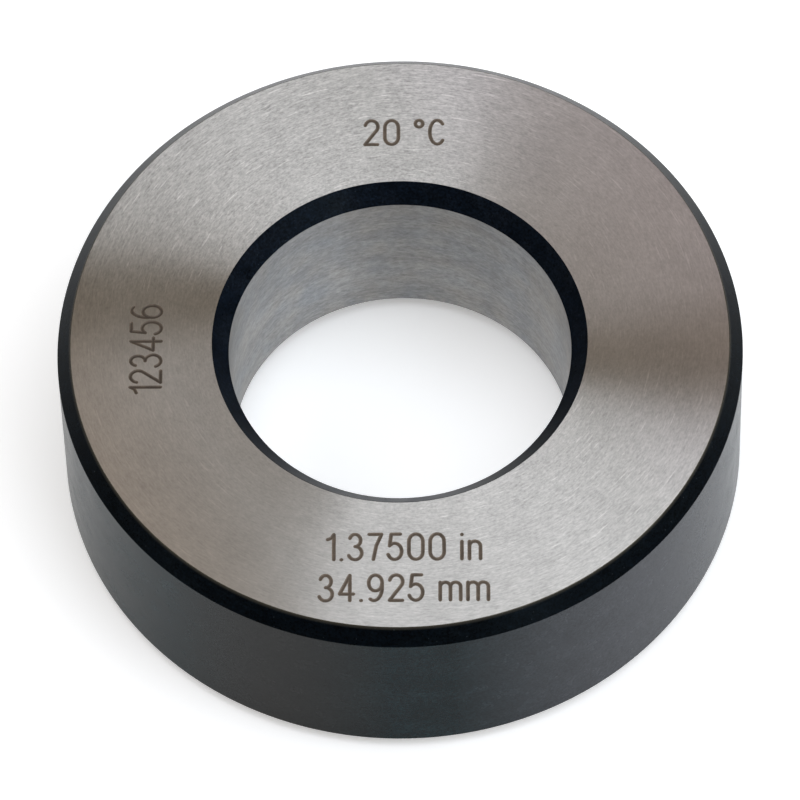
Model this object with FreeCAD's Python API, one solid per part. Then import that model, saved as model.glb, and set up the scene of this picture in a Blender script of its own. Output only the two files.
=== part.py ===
"""Setting ring gauge: one hardened steel ring, turned, ground on both faces and lapped in the bore.

Millimetres. Origin on the ring's axis at the lower face, +Z along the bore.
"""

import FreeCAD
import Part
import math
import os

from FreeCAD import Vector

# Driving dimensions.
bore_diameter = 34.917
outer_diameter = 69.85
ring_height = 22.225

# Length of each chamfer along the axis, and its angle from the axis.
bore_chamfer_length = 1.95
rim_chamfer_length = 1.65
chamfer_angle = 40.0

# Radius left where a chamfer meets a ground or lapped surface.
edge_break = 0.08

axis_point = Vector(0, 0, 0)
axis_direction = Vector(0, 0, 1)
full_turn = 360.0


def chamfer_width(chamfer_length):
    """Radial width of a chamfer that runs this far along the axis."""
    return chamfer_length * math.tan(math.radians(chamfer_angle))


def wall_section():
    """The wall cut through on one side of the axis, as a closed face in the XZ plane."""
    bore_radius = bore_diameter / 2
    outer_radius = outer_diameter / 2
    bore_mouth_radius = bore_radius + chamfer_width(bore_chamfer_length)
    face_rim_radius = outer_radius - chamfer_width(rim_chamfer_length)
    corners = [
        (bore_mouth_radius, 0),
        (face_rim_radius, 0),
        (outer_radius, rim_chamfer_length),
        (outer_radius, ring_height - rim_chamfer_length),
        (face_rim_radius, ring_height),
        (bore_mouth_radius, ring_height),
        (bore_radius, ring_height - bore_chamfer_length),
        (bore_radius, bore_chamfer_length),
    ]
    outline = [Vector(radius, 0, height) for radius, height in corners]
    return Part.Face(Part.makePolygon(outline + outline[:1]))


def turned_blank():
    """The section swung once round the axis."""
    return wall_section().revolve(axis_point, axis_direction, full_turn)


def corner_circles(solid):
    """The full circles where two turned surfaces meet, without the seams along each surface."""
    return [edge for edge in solid.Edges if isinstance(edge.Curve, Part.Circle) and edge.isClosed()]


def gauge_ring():
    """The ring with every turned corner broken to a small radius."""
    blank = turned_blank()
    return blank.makeFillet(edge_break, corner_circles(blank))


def write_step(name, shape):
    """One STEP file for one piece, after a check that it is a sound solid."""
    assert shape.isValid() and len(shape.Solids) == 1, name
    shape.Solids[0].exportStep(os.path.join("parts", name + ".step"))
    print(name, "volume", round(shape.Volume, 1), "mm3")


os.makedirs("parts", exist_ok=True)
write_step("gauge_ring", gauge_ring())
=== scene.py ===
# %% [markdown]
# A setting ring gauge is a plain steel ring whose bore is known to a thousandth of a millimetre. A bore
# gauge is set to it. The ring is turned, hardened, blackened, ground on both faces and lapped inside, so
# one piece of steel shows several finishes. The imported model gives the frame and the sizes. Only the
# looks are made here.

# %% Load the frame
import math

import bpy
from mathutils import Matrix, Vector


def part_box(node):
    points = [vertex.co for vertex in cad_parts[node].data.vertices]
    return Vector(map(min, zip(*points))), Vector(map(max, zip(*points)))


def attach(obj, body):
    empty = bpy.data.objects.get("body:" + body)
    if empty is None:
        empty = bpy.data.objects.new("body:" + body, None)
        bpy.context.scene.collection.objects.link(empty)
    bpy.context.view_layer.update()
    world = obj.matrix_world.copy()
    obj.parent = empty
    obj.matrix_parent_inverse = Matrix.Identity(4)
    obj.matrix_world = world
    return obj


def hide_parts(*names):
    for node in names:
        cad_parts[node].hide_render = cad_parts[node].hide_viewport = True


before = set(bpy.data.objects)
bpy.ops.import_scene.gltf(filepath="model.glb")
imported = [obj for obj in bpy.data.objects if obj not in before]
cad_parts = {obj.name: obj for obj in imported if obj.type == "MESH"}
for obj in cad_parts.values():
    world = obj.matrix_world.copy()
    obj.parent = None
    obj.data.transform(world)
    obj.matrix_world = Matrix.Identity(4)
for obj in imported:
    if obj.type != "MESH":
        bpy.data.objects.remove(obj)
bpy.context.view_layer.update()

mm = 0.001
ring_low, ring_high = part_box("gauge_ring")
ring_height = ring_high.z - ring_low.z
outer_radius = min(ring_high.x, ring_high.y, -ring_low.x, -ring_low.y)
print("ring", round(2 * outer_radius / mm, 3), "mm across and", round(ring_height / mm, 3), "mm high")

# %% [markdown]
# The camera stands where the photographer's did: well back with a long lens, looking down on the ring. The
# angle, the distance and the small roll were worked out from the ring's own circles in the photograph, and
# one pixel, where the middle of the upper face lies, says how the picture is framed.

# %% Camera
photo_pixels = 800
lens_length = 400
sensor_width = 36
camera_height_angle = math.radians(59.06)
camera_roll = math.radians(-1.726)
camera_depth = 904.14 * mm
face_centre_pixel = Vector((399.72, 340.13))
farthest_seen = 20

bpy.ops.object.camera_add()
camera = bpy.context.object
camera.name = "camera"
camera.data.lens = lens_length
camera.data.sensor_width = sensor_width
camera.data.clip_end = farthest_seen
pixels_per_slope = photo_pixels * lens_length / sensor_width
face_centre = Vector((0, 0, ring_high.z))
sight_turn = Matrix.Rotation(math.pi / 2 - camera_height_angle, 3, "X") @ Matrix.Rotation(camera_roll, 3, "Z")
centre_slope = (face_centre_pixel - Vector((photo_pixels / 2, photo_pixels / 2))) / pixels_per_slope
centre_seen = camera_depth * Vector((centre_slope.x, -centre_slope.y, -1))
camera.matrix_world = Matrix.Translation(face_centre - sight_turn @ centre_seen) @ sight_turn.to_4x4()
bpy.context.scene.camera = camera
bpy.context.scene.view_settings.view_transform = "Standard"
print("camera", round((camera.matrix_world.translation - face_centre).length, 3), "m from the face")

# %% [markdown]
# A shader is a chain of nodes. These helpers add a node with its settings, and set a socket either to a
# value or to what another node gives, so that each finish below reads as a short recipe.

# %% Node helpers
def add_node(material, kind, **settings):
    """A new node of that kind in the material, with its settings."""
    node = material.node_tree.nodes.new(kind)
    for setting, value in settings.items():
        setattr(node, setting, value)
    return node

def feed(material, socket, source):
    """Gives an input socket a link from another node's output, or else a plain value."""
    if isinstance(source, bpy.types.NodeSocket):
        material.node_tree.links.new(source, socket)
    else:
        socket.default_value = source

def calculate(material, operation, first, second=0.0, third=0.0):
    """One step of arithmetic between values or sockets."""
    node = add_node(material, "ShaderNodeMath", operation=operation)
    for socket, source in zip(node.inputs, (first, second, third)):
        feed(material, socket, source)
    return node.outputs["Value"]

def own_place(material):
    """The point's place in the object's own coordinates, which stays the same in every view."""
    return add_node(material, "ShaderNodeTexCoord").outputs["Object"]

def length_of(material, vector):
    """How long a vector is."""
    node = add_node(material, "ShaderNodeVectorMath", operation="LENGTH")
    feed(material, node.inputs[0], vector)
    return node.outputs["Value"]

def spread(material, value, start, end, low, high):
    """A value's stretch from start to end, spread to run from low to high and held there beyond it."""
    node = add_node(material, "ShaderNodeMapRange")
    for socket, source in zip(node.inputs, (value, start, end, low, high)):
        feed(material, socket, source)
    return node.outputs["Result"]

def blend(material, share, first, second):
    """The first colour where the share is 0, the second where it is 1."""
    node = add_node(material, "ShaderNodeMix", data_type="RGBA")
    feed(material, node.inputs["Factor"], share)
    feed(material, node.inputs["A"], first)
    feed(material, node.inputs["B"], second)
    return node.outputs["Result"]

def new_material(name):
    """An empty node material."""
    material = bpy.data.materials.new(name)
    material.use_nodes = True
    material.node_tree.nodes.clear()
    return material

# %% [markdown]
# The ring stands on a plain pale table that runs on past the picture. The table is matt, so it takes the
# ring's soft shadow. A little glow is added that only the camera and mirror-like rays see: it lifts the
# background to white without putting more light on the steel. Outside the picture the glow ends, as where
# a lamp's pool of light ends, and there the sloping edges of the ring mirror the plain table.

# %% Table
table_radius = 5.0
table_sides = 96
table_colour = (0.92, 0.92, 0.92, 1)
table_glow = 0.36
glow_fades_from = 80 * mm
glow_ends_at = 120 * mm

bpy.ops.mesh.primitive_circle_add(
    vertices=table_sides, radius=table_radius, fill_type="NGON", location=(0, 0, 0))
table = bpy.context.object
table.name = "table"
table_finish = new_material("pale_table")
from_middle = length_of(table_finish, own_place(table_finish))
matt = add_node(table_finish, "ShaderNodeBsdfDiffuse")
feed(table_finish, matt.inputs["Color"], table_colour)
light_path = add_node(table_finish, "ShaderNodeLightPath")
seen = light_path.outputs["Is Camera Ray"]
for ray in ("Is Glossy Ray", "Is Transmission Ray"):
    seen = calculate(table_finish, "MAXIMUM", seen, light_path.outputs[ray])
glow = add_node(table_finish, "ShaderNodeEmission")
glow_strength = spread(table_finish, from_middle, glow_fades_from, glow_ends_at, table_glow, 0)
feed(table_finish, glow.inputs["Strength"], calculate(table_finish, "MULTIPLY", seen, glow_strength))
both = add_node(table_finish, "ShaderNodeAddShader")
feed(table_finish, both.inputs[0], matt.outputs["BSDF"])
feed(table_finish, both.inputs[1], glow.outputs["Emission"])
output = add_node(table_finish, "ShaderNodeOutputMaterial")
feed(table_finish, output.inputs["Surface"], both.outputs["Shader"])
table.data.materials.append(table_finish)
print("table", round(2 * table_radius, 1), "m across")

# %% [markdown]
# The photograph's light is a large soft box above the ring, a second lamp off to its left and a long low
# panel on the right, in a dim warm room. Ground steel shows the first two as bright fans on the upper face,
# so the soft box's place, size and turn set where the fans begin and end, and the left lamp makes the slow
# slope of the darker parts between them. The panel reaches the upright walls: it brightens the right of the
# rim and the left of the bore.

# %% Light
room_colour = (1.0, 0.843, 0.65, 1.0)
room_strength = 0.266
lamps_above_face = 1.0
panel_distance = 1.5
panel_compass_angle = math.radians(-25)
panel_height_angle = math.radians(35)

world = bpy.data.worlds.new("dim_room")
bpy.context.scene.world = world
world.use_nodes = True
room = world.node_tree.nodes["Background"]
room.inputs["Color"].default_value = room_colour
room.inputs["Strength"].default_value = room_strength

def add_lamp(name, place, rotation, size, colour, brightness):
    """A flat lamp, as bright as asked whatever its size. With no rotation it shines straight down."""
    bpy.ops.object.light_add(type="AREA", location=place, rotation=rotation)
    lamp = bpy.context.object
    lamp.name = name
    lamp.data.shape = "RECTANGLE"
    lamp.data.size, lamp.data.size_y = size
    lamp.data.color = colour
    lamp.data.energy = brightness * math.pi * size[0] * size[1]
    print(name, round(lamp.data.energy, 2), "W")

overhead = ring_high.z + lamps_above_face
panel_turn = Matrix.Rotation(panel_compass_angle, 3, "Z") @ Matrix.Rotation(-panel_height_angle, 3, "Y")
panel_way = panel_turn @ Vector((1, 0, 0))
add_lamp(
    "softbox", place=(0.309, -0.010, overhead), rotation=(0, 0, math.radians(-9.0)),
    size=(0.960, 0.923), colour=(0.846, 0.917, 1.0), brightness=2.42)
add_lamp(
    "left_lamp", place=(-0.870, 0.162, overhead), rotation=(0, 0, math.radians(-2.4)),
    size=(0.842, 1.160), colour=(0.912, 0.938, 1.0), brightness=2.18)
add_lamp(
    "right_panel", place=face_centre + panel_distance * panel_way,
    rotation=(math.pi / 2 - panel_height_angle, 0, math.pi / 2 + panel_compass_angle),
    size=(2.2, 0.8), colour=(0.863, 0.926, 1.0), brightness=2.6)

# %% [markdown]
# A lathe makes a ring by swinging one outline round an axis, and so does the spin tool. The outline is the
# wall cut through: a plane stood on edge, stretched to the wall's thickness and height. Cutting the corners
# off with bisect leaves the chamfers at their true angle, which a bevel of equal sides would not.

# %% The wall's section
bore_radius = 34.917 / 2 * mm
bore_chamfer_length = 1.95 * mm
rim_chamfer_length = 1.65 * mm
chamfer_angle = math.radians(40)

wall_thickness = outer_radius - bore_radius
wall_middle = Vector(((outer_radius + bore_radius) / 2, 0, ring_low.z + ring_height / 2))
bpy.ops.object.select_all(action="DESELECT")
bpy.ops.mesh.primitive_plane_add(size=1, location=wall_middle, rotation=(math.pi / 2, 0, 0))
ring = bpy.context.object
ring.name = "setting_ring"
ring.data.name = "setting_ring"
bpy.ops.object.mode_set(mode="EDIT")
bpy.ops.transform.resize(value=(wall_thickness, 1, ring_height))
bpy.ops.object.mode_set(mode="OBJECT")
bpy.ops.object.transform_apply(location=True, rotation=True, scale=True)

def cut_corner_off(side, end):
    """Bisects the section where a chamfer meets the wall. side is -1 at the bore and 1 at the rim."""
    wall_radius = outer_radius if side > 0 else bore_radius
    chamfer_length = rim_chamfer_length if side > 0 else bore_chamfer_length
    meeting_point = (wall_radius, 0, wall_middle.z + end * (ring_height / 2 - chamfer_length))
    outward = (side * math.cos(chamfer_angle), 0, end * math.sin(chamfer_angle))
    bpy.ops.mesh.select_all(action="SELECT")
    bpy.ops.mesh.bisect(plane_co=meeting_point, plane_no=outward, clear_outer=True)

bpy.ops.object.mode_set(mode="EDIT")
for side in (-1, 1):
    for end in (-1, 1):
        cut_corner_off(side, end)
bpy.ops.object.mode_set(mode="OBJECT")
print("section corners", len(ring.data.vertices))

# %% [markdown]
# No machined corner is perfectly sharp. Each one is broken with a stone to a few hundredths of a
# millimetre. Bevelling the outline's points before the spin rounds every edge of the ring at once.

# %% Broken edges
edge_break = 0.035 * mm
edge_break_steps = 3

bpy.ops.object.mode_set(mode="EDIT")
bpy.ops.mesh.select_all(action="SELECT")
bpy.ops.mesh.bevel(offset=edge_break, segments=edge_break_steps, affect="VERTICES")
bpy.ops.mesh.select_all(action="SELECT")
bpy.ops.mesh.delete(type="ONLY_FACE")
bpy.ops.object.mode_set(mode="OBJECT")
print("section points", len(ring.data.vertices))

# %% [markdown]
# Now the turning itself. Half a degree a step keeps the circles round in a close view. The last step meets
# the first, so the doubles there are merged, and the normals are made to point outwards before anything is
# cut into the ring.

# %% Spin the section round the axis
turning_steps = 720
weld_distance = 0.001 * mm

bpy.ops.object.mode_set(mode="EDIT")
bpy.ops.mesh.select_all(action="SELECT")
bpy.ops.mesh.spin(steps=turning_steps, angle=2 * math.pi, center=(0, 0, 0), axis=(0, 0, 1))
bpy.ops.mesh.select_all(action="SELECT")
bpy.ops.mesh.remove_doubles(threshold=weld_distance)
bpy.ops.mesh.normals_make_consistent(inside=False)
bpy.ops.object.mode_set(mode="OBJECT")

def open_edges(mesh):
    """How many edges don't have exactly two faces."""
    faces_at_edge = [0] * len(mesh.edges)
    for loop in mesh.loops:
        faces_at_edge[loop.edge_index] += 1
    return sum(1 for count in faces_at_edge if count != 2)

print("turned ring", len(ring.data.polygons), "faces,", open_edges(ring.data), "open edges")

# %% [markdown]
# The marks are cut with a round-nosed tool that follows single lines, so each character is a few strokes.
# The strokes are written here in a box one high: straight runs as points, and round parts as arcs.

# %% Strokes of the plain characters
arc_step = 12

def arc(x, y, width, height, start, end):
    """Points along an ellipse of that width and height about (x, y), between two angles in degrees."""
    steps = max(2, round(abs(end - start) / arc_step))
    angles = [math.radians(start + (end - start) * i / steps) for i in range(steps + 1)]
    return [(x + width / 2 * math.cos(angle), y + height / 2 * math.sin(angle)) for angle in angles]

def turned_over(strokes, width):
    """The same strokes turned by half a turn inside their box."""
    return [[(width - x, 1 - y) for x, y in stroke] for stroke in strokes]

bowl = arc(0.23, 0.31, 0.46, 0.62, 0, 360)
six = [bowl, arc(0.28, 0.48, 0.56, 1.04, 62, 196)]
loop_of_zero = arc(0.24, 0.70, 0.48, 0.6, 0, 180) + arc(0.24, 0.30, 0.48, 0.6, 180, 360)
characters = {
    "0": (0.48, [loop_of_zero + loop_of_zero[:1]]),
    "1": (0.22, [[(0.22, 0), (0.22, 1)], [(0.22, 1), (0.14, 0.86), (0, 0.80)]]),
    "2": (0.45, [arc(0.23, 0.74, 0.45, 0.52, 168, -30) + [(0, 0)], [(0, 0), (0.45, 0)]]),
    "3": (0.44, [arc(0.21, 0.76, 0.38, 0.48, 160, -90), arc(0.21, 0.26, 0.46, 0.52, 90, -160)]),
    "4": (0.48, [[(0.35, 0), (0.35, 1)], [(0.35, 1), (0, 0.26)], [(0, 0.26), (0.48, 0.26)]]),
    "5": (0.44, [[(0.08, 1), (0.40, 1)], arc(0.20, 0.32, 0.48, 0.64, 138, -158), [(0.08, 1), (0.03, 0.54)]]),
    "6": (0.46, six),
    "7": (0.43, [[(0, 1), (0.43, 1)], [(0.43, 1), (0.25, 0.55), (0.15, 0)]]),
    "9": (0.46, turned_over(six, 0.46)),
    ".": (0.02, [[(0, 0), (0.02, 0)]]),
    "i": (0.02, [[(0.01, 0), (0.01, 0.70)], [(0.01, 0.96), (0.01, 0.98)]]),
    "n": (0.38, [[(0, 0), (0, 0.70)], arc(0.19, 0.50, 0.38, 0.40, 180, 0) + [(0.38, 0)]]),
    "m": (0.70, [[(0, 0), (0, 0.70)], arc(0.175, 0.52, 0.35, 0.36, 180, 0) + [(0.35, 0)],
                 arc(0.525, 0.52, 0.35, 0.36, 180, 0) + [(0.70, 0)]]),
    "°": (0.26, [arc(0.13, 0.86, 0.26, 0.28, 0, 360)]),
    "C": (0.50, [arc(0.26, 0.50, 0.52, 1.0, 42, 318)]),
    " ": (0.10, []),
}
print("characters", len(characters))

# %% [markdown]
# A groove is the path of the tool, so each stroke becomes a tube with domed ends: the nose of the tool.
# The tube's line runs a little above the face, so that only its underside bites. Where two strokes of a
# character cross, their tubes would overlap, and a cutter must not overlap itself. So the first strokes of
# all characters make one cutter, the second strokes another, and so on, as the engraver would go over it.

# %% Cutters for the marks
groove_width = 0.40 * mm
groove_depth = 0.07 * mm
number_depth = 0.09 * mm
dome_angles = [math.radians(angle) for angle in (25, 50, 70, 84)]
tube_steps = 5

def tool_nose(depth):
    """The radius of the tube that cuts a groove of that depth, and the height of its middle line."""
    radius = (groove_width ** 2 / 4 + depth ** 2) / (2 * depth)
    return radius, ring_high.z + radius - depth

def laid_out(words, cap_height, gap, start, turn):
    """The strokes of some words on the face, as lists of points in metres, with their pass numbers."""
    placed = []
    pen = 0.0
    along = Vector((math.cos(turn), math.sin(turn)))
    across = Vector((-math.sin(turn), math.cos(turn)))
    width = sum(characters[letter][0] + gap for letter in words) - gap
    for letter in words:
        letter_width, strokes = characters[letter]
        for tool_pass, stroke in enumerate(strokes):
            points = [start + cap_height * ((pen + x - width / 2) * along + y * across) for x, y in stroke]
            placed.append((tool_pass, points))
        pen += letter_width + gap
    return placed

def add_stroke(curve, points, depth):
    """One stroke as a spline. A loop is closed, and an open stroke gets a dome at each end."""
    tool_radius, tool_height = tool_nose(depth)
    if (points[0] - points[-1]).length < weld_distance:
        path = [(point, 1.0) for point in points[:-1]]
    else:
        first_way = (points[0] - points[1]).normalized()
        last_way = (points[-1] - points[-2]).normalized()
        dome = [(tool_radius * math.sin(angle), math.cos(angle)) for angle in dome_angles]
        path = [(points[0] + first_way * reach, size) for reach, size in reversed(dome)]
        path += [(point, 1.0) for point in points]
        path += [(points[-1] + last_way * reach, size) for reach, size in dome]
    spline = curve.splines.new("POLY")
    spline.points.add(len(path) - 1)
    spline.use_cyclic_u = len(path) < len(points)
    for spline_point, (place, size) in zip(spline.points, path):
        spline_point.co = (place.x, place.y, tool_height, 1)
        spline_point.radius = size

def make_cutter(name, strokes, depth):
    """One mesh of all the strokes of one pass."""
    curve = bpy.data.curves.new(name, "CURVE")
    curve.dimensions = "3D"
    curve.bevel_depth = tool_nose(depth)[0]
    curve.bevel_resolution = tube_steps
    curve.use_fill_caps = True
    for points in strokes:
        add_stroke(curve, points, depth)
    cutter = bpy.data.objects.new(name, curve)
    bpy.context.scene.collection.objects.link(cutter)
    bpy.ops.object.select_all(action="DESELECT")
    cutter.select_set(True)
    bpy.context.view_layer.objects.active = cutter
    bpy.ops.object.convert(target="MESH")
    bpy.ops.object.mode_set(mode="EDIT")
    bpy.ops.mesh.select_all(action="SELECT")
    bpy.ops.mesh.remove_doubles(threshold=weld_distance)
    bpy.ops.mesh.normals_make_consistent(inside=False)
    bpy.ops.object.mode_set(mode="OBJECT")
    print(name, len(cutter.data.polygons), "faces,", open_edges(cutter.data), "open edges")
    return cutter

print("tool nose", round(tool_nose(groove_depth)[0] / mm, 3), "mm in radius")

# %% [markdown]
# The size stands at the front, in inches and in millimetres. The temperature at which it holds stands at
# the back, and the ring's number reads up the left side. All of it is turned a little, as the ring wasn't
# set quite square to the engraver. The number is put on last, by hand and a little deeper, so it has
# cutters of its own.

# %% Lay out the marks
marks_turn = math.radians(-1.5)
cap_height = 2.92 * mm
number_height = 3.06 * mm
letter_gap = 0.25
number_gap = 0.18
size_in_inches = Vector((-0.24, -25.72)) * mm
size_in_millimetres = Vector((-0.37, -30.44)) * mm
temperature_place = Vector((1.1, 23.6)) * mm
number_place = Vector((-24.3, -0.2)) * mm

strokes = laid_out("1.37500 in", cap_height, letter_gap, size_in_inches, marks_turn)
strokes += laid_out("34.925 mm", cap_height, letter_gap, size_in_millimetres, marks_turn)
strokes += laid_out("20 °C", cap_height, letter_gap, temperature_place, marks_turn)
number_strokes = laid_out("123456", number_height, number_gap, number_place, marks_turn + math.pi / 2)
engraved = [("size_cutter", strokes, groove_depth), ("number_cutter", number_strokes, number_depth)]
cutters = []
for name, group, depth in engraved:
    for tool_pass in sorted({stroke_pass for stroke_pass, points in group}):
        pass_strokes = [points for stroke_pass, points in group if stroke_pass == tool_pass]
        cutters.append(make_cutter(name, pass_strokes, depth))
print("strokes", len(strokes) + len(number_strokes), "in", len(cutters), "passes")

# %% [markdown]
# The grooves are cut out with the Boolean modifier, one pass after another, as real grooves in the mesh.
# They keep their shape in every view, where a painted mark would look flat from close by.

# %% Cut the marks
smooth_up_to = math.radians(5)

for cutter in cutters:
    bpy.ops.object.select_all(action="DESELECT")
    ring.select_set(True)
    bpy.context.view_layer.objects.active = ring
    bpy.ops.object.modifier_add(type="BOOLEAN")
    cut = ring.modifiers[-1]
    cut.operation = "DIFFERENCE"
    cut.solver = "MANIFOLD"
    cut.object = cutter
    bpy.ops.object.modifier_apply(modifier=cut.name)
    bpy.data.objects.remove(cutter)
bpy.ops.object.shade_smooth_by_angle(angle=smooth_up_to)
print("engraved ring", len(ring.data.polygons), "faces,", open_edges(ring.data), "open edges")

# %% [markdown]
# Every surface of a turned part carries marks that run round the axis. A pattern for them needs a
# coordinate round the ring that doesn't jump where the angle starts again, so the point's direction from
# the axis is used, which runs in a circle. The other coordinate goes across the marks: outwards on a face,
# and along the axis on a wall. Both are divided by the size of one streak.

# %% Coordinates along and across the turning marks
usual_noise = (0.25, 0.75)

def move_vector(material, operation, first, second):
    """One step of arithmetic between vectors."""
    node = add_node(material, "ShaderNodeVectorMath", operation=operation)
    feed(material, node.inputs[0], first)
    feed(material, node.inputs[1], second)
    return node

def flat_way_out(material, centre=(0, 0, 0)):
    """The flat vector to the point from the centre of the turning marks."""
    from_centre = move_vector(material, "SUBTRACT", own_place(material), centre).outputs["Vector"]
    return move_vector(material, "MULTIPLY", from_centre, (1, 1, 0)).outputs["Vector"]

def parts_of(material, vector):
    """A vector's three parts."""
    node = add_node(material, "ShaderNodeSeparateXYZ")
    feed(material, node.inputs["Vector"], vector)
    return node.outputs

def streaks(material, across, streak_length, streak_width, at_radius, centre=(0, 0, 0)):
    """A vector that runs round the axis one unit a streak's length, and across one unit a streak's width."""
    out = flat_way_out(material, centre)
    way = add_node(material, "ShaderNodeVectorMath", operation="NORMALIZE")
    feed(material, way.inputs[0], out)
    way_parts = parts_of(material, way.outputs["Vector"])
    if across == "outwards":
        crossing = length_of(material, out)
    else:
        crossing = parts_of(material, own_place(material))["Z"]
    streaks_round = at_radius / streak_length
    vector = add_node(material, "ShaderNodeCombineXYZ")
    feed(material, vector.inputs["X"], calculate(material, "MULTIPLY", way_parts["X"], streaks_round))
    feed(material, vector.inputs["Y"], calculate(material, "MULTIPLY", way_parts["Y"], streaks_round))
    feed(material, vector.inputs["Z"], calculate(material, "DIVIDE", crossing, streak_width))
    return vector.outputs["Vector"]

def noise(material, vector, scale, detail, roughness=0.6):
    """Smooth noise between about 0 and 1, along a vector."""
    texture = add_node(material, "ShaderNodeTexNoise")
    feed(material, texture.inputs["Vector"], vector)
    feed(material, texture.inputs["Scale"], scale)
    feed(material, texture.inputs["Detail"], detail)
    feed(material, texture.inputs["Roughness"], roughness)
    return texture.outputs["Fac"]

def between(material, value, low, high):
    """Noise, most of which lies in its usual range, spread to run from low to high."""
    return spread(material, value, usual_noise[0], usual_noise[1], low, high)

def varied(material, value, share):
    """Noise spread to run from that share below 1 to that share above 1."""
    return between(material, value, 1 - share, 1 + share)

def shaded(material, colour, brightness):
    """A colour times a brightness pattern."""
    tint = add_node(material, "ShaderNodeVectorMath", operation="SCALE")
    feed(material, tint.inputs[0], colour)
    feed(material, tint.inputs["Scale"], brightness)
    return tint.outputs["Vector"]

def steel_shader(material, **sockets):
    """The material's main shader, with its sockets set, joined to the output."""
    shader = add_node(material, "ShaderNodeBsdfPrincipled")
    for socket, source in sockets.items():
        feed(material, shader.inputs[socket.replace("_", " ")], source)
    output = add_node(material, "ShaderNodeOutputMaterial")
    feed(material, output.inputs["Surface"], shader.outputs["BSDF"])
    print(material.name, len(material.node_tree.nodes), "nodes")

# %% [markdown]
# The faces are ground while the ring turns, which leaves fine rings of scratches. Light is thrown out
# across the scratches and hardly at all along them, so the shader is anisotropic, with its tangent pointing
# outwards. That makes the two bright fans. The ring lay a little off the middle of the grinder's table, and
# the scratches swirl slightly, which is why the fans in the photograph aren't quite even.

# %% Which way the grinding marks run
grinding_centre = (0.83 * mm, 1.13 * mm, 0)
swirl = math.radians(0.27) / mm
middle_radius = (outer_radius + bore_radius) / 2

ground = new_material("ground_steel")
way_out = flat_way_out(ground, grinding_centre)
swirl_angle = calculate(
    ground, "MULTIPLY", calculate(ground, "SUBTRACT", length_of(ground, way_out), middle_radius), -swirl)
turned = add_node(ground, "ShaderNodeVectorRotate", rotation_type="Z_AXIS")
feed(ground, turned.inputs["Vector"], way_out)
feed(ground, turned.inputs["Angle"], swirl_angle)
across_marks = add_node(
    ground, "ShaderNodeVectorTransform", vector_type="VECTOR", convert_from="OBJECT", convert_to="WORLD")
feed(ground, across_marks.inputs["Vector"], turned.outputs["Vector"])
print("grinding marks centred", round(Vector(grinding_centre).length / mm, 2), "mm off the axis")

# %% [markdown]
# The grain of the ground faces is the scratches themselves: fine, short or long, and a little brighter or
# darker than each other. Wide faint clouds lie under them, and a few deeper scratches are paler. All of it
# goes into the colour, as noise stretched along the marks. The grain also carries a painted glint. Scratches
# glint only where the eye looks across them towards the lamp, so a Layer Weight node is given the way across
# the marks, turned towards the lamp, in place of the surface's own normal. It paints the grain stronger there
# and fainter in the darker parts, and the grain is painted bolder at the back of the ring than at the front,
# following the lamps. The face's colour carries painted light and shade too: painted shade makes it darker
# and warmer at the front left, and painted light makes it brighter at the right.

# %% Ground steel
def on_side(material, compass_angle, reach):
    """1 at the ring's edge on one side. It fades to 0 inwards, and along the edge within the reach."""
    side_way = (math.cos(compass_angle), math.sin(compass_angle), 0)
    towards_side = move_vector(material, "DOT_PRODUCT", flat_way_out(material), side_way).outputs["Value"]
    return spread(material, towards_side, outer_radius * math.cos(reach), outer_radius, 0, 1)

ground_colour = (0.446, 0.429, 0.4125)
# Painted shade, darker and warmer, at the front left of the face, and painted light, paler, at the right.
painted_shade_front_left = (math.radians(207), math.radians(50), (0.402, 0.355, 0.310))
painted_light_right = (math.radians(28), math.radians(70), (0.556, 0.512, 0.526))
towards_lamp = math.radians(-25)
glint_starts_at = 0.26
glint_full_at = 0.47
faint_grain = 0.6
full_grain = 1.2
fine_share = 0.20
long_share = 0.11
deep_share = 0.25
cloud_share = 0.09
front_glint_share = 0.73
back_glint_share = 1.27

def scratch_noise(length, width, detail, roughness=0.6):
    """Noise drawn out along the grinding marks, as scratches of that length and width."""
    along_marks = streaks(ground, "outwards", length, width, middle_radius, grinding_centre)
    return noise(ground, along_marks, 1, detail, roughness)

aside = add_node(ground, "ShaderNodeVectorRotate", rotation_type="Z_AXIS")
feed(ground, aside.inputs["Vector"], across_marks.outputs["Vector"])
feed(ground, aside.inputs["Angle"], towards_lamp)
one_long = add_node(ground, "ShaderNodeVectorMath", operation="NORMALIZE")
feed(ground, one_long.inputs[0], aside.outputs["Vector"])
weight = add_node(ground, "ShaderNodeLayerWeight")
feed(ground, weight.inputs["Normal"], one_long.outputs["Vector"])
looking_across = calculate(ground, "SUBTRACT", 1.0, weight.outputs["Facing"])
# Painted glint: the grain is painted stronger where the eye looks across the marks towards the lamp.
painted_glint = spread(ground, looking_across, glint_starts_at, glint_full_at, faint_grain, full_grain)

fine = between(ground, scratch_noise(0.42 * mm, 0.17 * mm, detail=2, roughness=0.7), -fine_share, fine_share)
long = between(ground, scratch_noise(1.2 * mm, 0.18 * mm, detail=1), -long_share, long_share)
deep = spread(ground, scratch_noise(2.4 * mm, 0.16 * mm, detail=0), 0.72, 0.80, 0, deep_share)
clouds = noise(ground, own_place(ground), 250, 4, 0.75)
scratches = calculate(ground, "ADD", calculate(ground, "ADD", fine, long), deep)
# Painted glint: the grain is scaled from front to back, so it is bolder at the back of the ring, following
# the lamps.
from_front = parts_of(ground, own_place(ground))["Y"]
painted_back_glint = spread(ground, from_front, -outer_radius, outer_radius, front_glint_share, back_glint_share)
scratches = calculate(ground, "MULTIPLY", scratches, painted_back_glint)
grain_and_painted_glint = calculate(ground, "MULTIPLY_ADD", scratches, painted_glint, varied(ground, clouds, cloud_share))
ground_tint = ground_colour + (1,)
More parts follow.
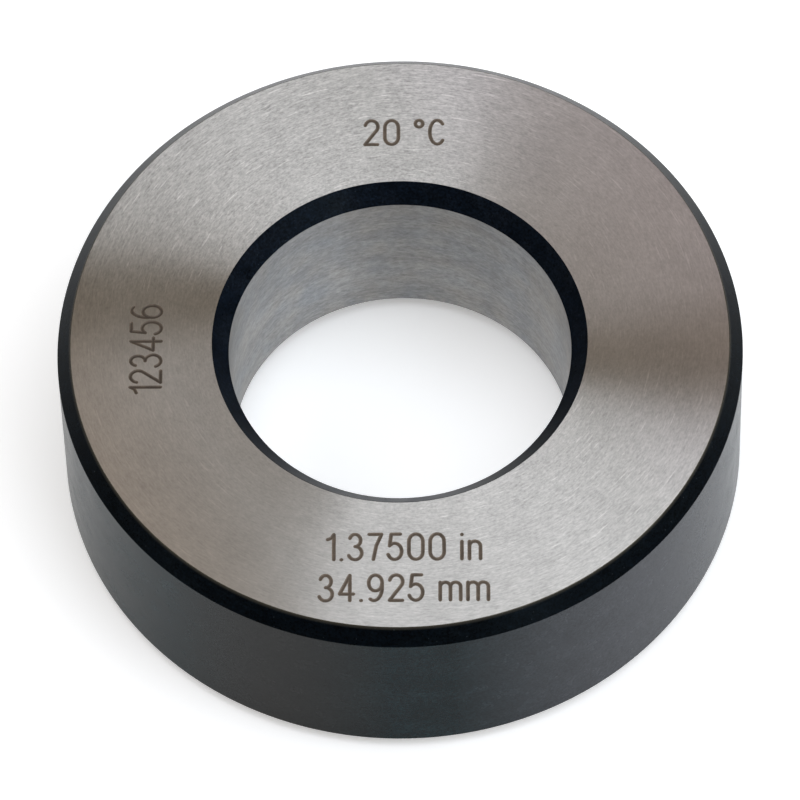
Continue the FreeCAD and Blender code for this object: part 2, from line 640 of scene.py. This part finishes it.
# The painted shade at the front left and the painted light at the right go into the face's colour.
for compass_angle, reach, colour in (painted_shade_front_left, painted_light_right):
    ground_tint = blend(ground, on_side(ground, compass_angle, reach), ground_tint, colour + (1,))
steel_shader(
    ground,
    Base_Color=shaded(ground, ground_tint, grain_and_painted_glint),
    Metallic=1.0,
    Roughness=0.281,
    Anisotropic=1.0,
    Tangent=across_marks.outputs["Vector"],
)

# %% [markdown]
# The rim and the chamfers keep the black oxide that the whole ring had before grinding. It is a thin glassy
# skin: nearly black face on, and a mirror at a low angle. So it isn't a metal to the shader, and the Fresnel
# effect does the rest. Handling has left scuffs on the rim and has browned it a little at the front left. The
# rim's colour is also painted paler at the front right, as painted light where it mirrors the lit table. The
# chamfers are out of reach, so they are blacker and more matt, with a few specks of dust. On the rim's
# chamfers the skin thins away close to the ground faces, and its black goes over into the brown of straw.

# %% Black oxide
turning_mark = (1.2 * mm, 0.3 * mm)
scuff_mark = (9 * mm, 3 * mm)
dust_colour = (0.025, 0.03, 0.035)
thin_skin_colour = (0.082, 0.074, 0.058)
thin_skin_reach = 0.28 * mm
oxide_tint = (0.7, 0.9, 1.0)
roughness_change = 0.04

def below_face(material):
    """How far the point lies from the nearer of the two ground faces."""
    height = parts_of(material, own_place(material))["Z"]
    from_upper = calculate(material, "SUBTRACT", ring_high.z, height)
    from_lower = calculate(material, "SUBTRACT", height, ring_low.z)
    return calculate(material, "MINIMUM", from_upper, from_lower)

def black_oxide(name, fresh, scuffed, roughness, index, edge_wear=0.0, sides=()):
    """Oxide with faint turning marks, scuffs along them, specks of dust and a worn edge by the ground face.
    Each of the sides is its compass angle, its reach and its colour."""
    oxide = new_material(name)
    turning = noise(oxide, streaks(oxide, "upwards", *turning_mark, outer_radius), 1, 3, 0.8)
    mottling = noise(oxide, own_place(oxide), 300, 4, 0.7)
    speckle = noise(oxide, own_place(oxide), 4000, 1)
    scuffs = noise(oxide, streaks(oxide, "upwards", *scuff_mark, outer_radius), 1, 4, 0.75)
    dust = noise(oxide, own_place(oxide), 4500, 0)
    skin = blend(oxide, spread(oxide, scuffs, 0.45, 0.8, 0, 1), fresh + (1,), scuffed + (1,))
    pattern = calculate(oxide, "MULTIPLY", varied(oxide, turning, 0.5), varied(oxide, mottling, 0.4))
    pattern = calculate(oxide, "MULTIPLY", pattern, varied(oxide, speckle, 0.7))
    skin = shaded(oxide, skin, pattern)
    # On the rim the sides are painted light at the front right and a browner tint at the front left.
    for compass_angle, reach, colour in sides:
        side_pattern = calculate(oxide, "MULTIPLY", varied(oxide, speckle, 0.3), varied(oxide, mottling, 0.2))
        side_skin = shaded(oxide, colour, side_pattern)
        skin = blend(oxide, on_side(oxide, compass_angle, reach), skin, side_skin)
    speckled = blend(oxide, spread(oxide, dust, 0.84, 0.87, 0, 1), skin, dust_colour + (1,))
    thinned = spread(oxide, below_face(oxide), 0, thin_skin_reach, edge_wear, 0)
    steel_shader(
        oxide,
        Base_Color=blend(oxide, thinned, speckled, thin_skin_colour + (1,)),
        Roughness=between(oxide, mottling, roughness - roughness_change, roughness + roughness_change),
        IOR=index,
        Specular_Tint=oxide_tint + (1,),
    )
    return oxide

# %% [markdown]
# The three blackened parts differ a little. The rim has been handled, so it is the palest. It has a side
# painted paler as painted light and a browned side. Its chamfers are nearly black, and the bore's chamfers
# are a little bluer.

# %% The oxide of the rim and of the chamfers
# Painted light: the rim's colour is painted paler at the front right, where it mirrors the lit table.
painted_light_on_rim = (math.radians(315), math.radians(38), (0.053, 0.056, 0.064))
browned_side = (math.radians(247), math.radians(20), (0.017, 0.0165, 0.0155))
rim_oxide = black_oxide(
    "rim_oxide", fresh=(0.003, 0.010, 0.0125), scuffed=(0.009, 0.018, 0.022),
    roughness=0.26, index=1.14, sides=(painted_light_on_rim, browned_side))
rim_chamfer_oxide = black_oxide(
    "rim_chamfer_oxide", fresh=(0.001, 0.002, 0.0035), scuffed=(0.003, 0.0045, 0.006),
    roughness=0.27, index=1.145, edge_wear=0.5)
bore_chamfer_oxide = black_oxide(
    "bore_chamfer_oxide", fresh=(0.0025, 0.0045, 0.0085), scuffed=(0.007, 0.0095, 0.014),
    roughness=0.30, index=1.15)

# %% [markdown]
# The bore is lapped with fine paste. Its rings are much finer than the grinding marks, but they too throw
# the light out across themselves, which here is up and down the wall. So the side of the bore that faces
# the lamp is the bright one. Handling leaves faint oily smears that are browner or bluer than the steel.

# %% Lapped bore
lapped_warm = (0.342, 0.328, 0.309)
lapped_cool = (0.302, 0.313, 0.325)

lapped = new_material("lapped_bore")
rings = noise(lapped, streaks(lapped, "upwards", 0.8 * mm, 0.34 * mm, bore_radius), 1, 3, 0.8)
smears = noise(lapped, streaks(lapped, "upwards", 12 * mm, 1.7 * mm, bore_radius), 1, 3, 0.7)
stains = noise(lapped, own_place(lapped), 230, 2)
patches = noise(lapped, own_place(lapped), 110, 3)
wipes = noise(lapped, streaks(lapped, "upwards", 4 * mm, 40 * mm, bore_radius), 1, 2)
lapping = varied(lapped, rings, 0.30)
for pattern, share in ((smears, 0.16), (patches, 0.08), (wipes, 0.08)):
    lapping = calculate(lapped, "MULTIPLY", lapping, varied(lapped, pattern, share))
stained = blend(lapped, between(lapped, stains, 0, 1), lapped_cool + (1,), lapped_warm + (1,))
around_bore = add_node(lapped, "ShaderNodeTangent", direction_type="RADIAL", axis="Z")
steel_shader(
    lapped,
    Base_Color=shaded(lapped, stained, lapping),
    Metallic=1.0,
    Roughness=0.44,
    Anisotropic=0.9,
    Anisotropic_Rotation=0.25,
    Tangent=around_bore.outputs["Tangent"],
)

# %% [markdown]
# Where grinding cuts into the oxide it thins away to nothing, and the last of it shows brown, as tempered
# steel does. It is a hair-thin line along the edge between each face and the rim's chamfer. The edge round
# the bore was broken before blackening, so it is as black as its chamfer.

# %% Straw edge
straw_colour = (0.085, 0.076, 0.058)

straw = new_material("straw_edge")
fading = noise(straw, own_place(straw), 300, 2)
steel_shader(
    straw,
    Base_Color=shaded(straw, straw_colour, varied(straw, fading, 0.4)),
    Metallic=1.0,
    Roughness=0.35,
)

# %% [markdown]
# The grooves are burnt brown by the marking, and rough, so they stay dark from every side. Their colour is
# darker towards the bottom of each groove and uneven along each stroke, and the shallow edges of a groove are
# paler.

# %% Burnt grooves
burnt_edge_colour = (0.145, 0.112, 0.085, 1)
burnt_bottom_colour = (0.0225, 0.0134, 0.0061, 1)
edge_burnt_to = 0.3 * groove_depth

burnt = new_material("burnt_groove")
burning = noise(burnt, own_place(burnt), 1600, 3, 0.7)
depth_share = spread(burnt, below_face(burnt), edge_burnt_to, number_depth, 0, 1)
burn = blend(burnt, depth_share, burnt_edge_colour, burnt_bottom_colour)
steel_shader(
    burnt,
    Base_Color=shaded(burnt, burn, between(burnt, burning, 0.6, 1.5)),
    Metallic=0.3,
    Roughness=0.6,
)

# %% [markdown]
# Each face of the mesh gets its finish by where it lies and which way it points. The flat faces look
# straight up or down, the walls look sideways, and the chamfers lie at their own angle in between. What
# lies below the face inside its flat band is a groove.

# %% Give each surface its finish
finishes = [ground, rim_oxide, rim_chamfer_oxide, bore_chamfer_oxide, lapped, straw, burnt]
ring.data.materials.clear()
for finish in finishes:
    ring.data.materials.append(finish)

chamfer_reach = math.tan(chamfer_angle)
flat_inside = bore_radius + bore_chamfer_length * chamfer_reach + edge_break
flat_outside = outer_radius - rim_chamfer_length * chamfer_reach - edge_break
level = 0.001 * mm
below_all_grooves = 2 * groove_depth
flat_slope = math.radians(89.9)
slope_margin = math.radians(1)

def finish_of(face):
    """The finish of one face of the ring, from its place and its slope."""
    from_axis = Vector((face.center.x, face.center.y)).length
    below = min(ring_high.z - face.center.z, face.center.z - ring_low.z)
    slope = math.atan2(abs(face.normal.z), Vector((face.normal.x, face.normal.y)).length)
    if flat_inside < from_axis < flat_outside and level < below < below_all_grooves:
        return burnt
    if slope > flat_slope:
        return ground
    if slope > chamfer_angle + slope_margin:
        return straw if from_axis > middle_radius else bore_chamfer_oxide
    if slope > chamfer_angle / 2:
        return rim_chamfer_oxide if from_axis > middle_radius else bore_chamfer_oxide
    return rim_oxide if from_axis > middle_radius else lapped

for face in ring.data.polygons:
    face.material_index = finishes.index(finish_of(face))
for number, finish in enumerate(finishes):
    print(finish.name, sum(1 for face in ring.data.polygons if face.material_index == number), "faces")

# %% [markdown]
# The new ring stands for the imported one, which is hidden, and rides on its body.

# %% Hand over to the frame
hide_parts("gauge_ring")
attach(ring, "root")
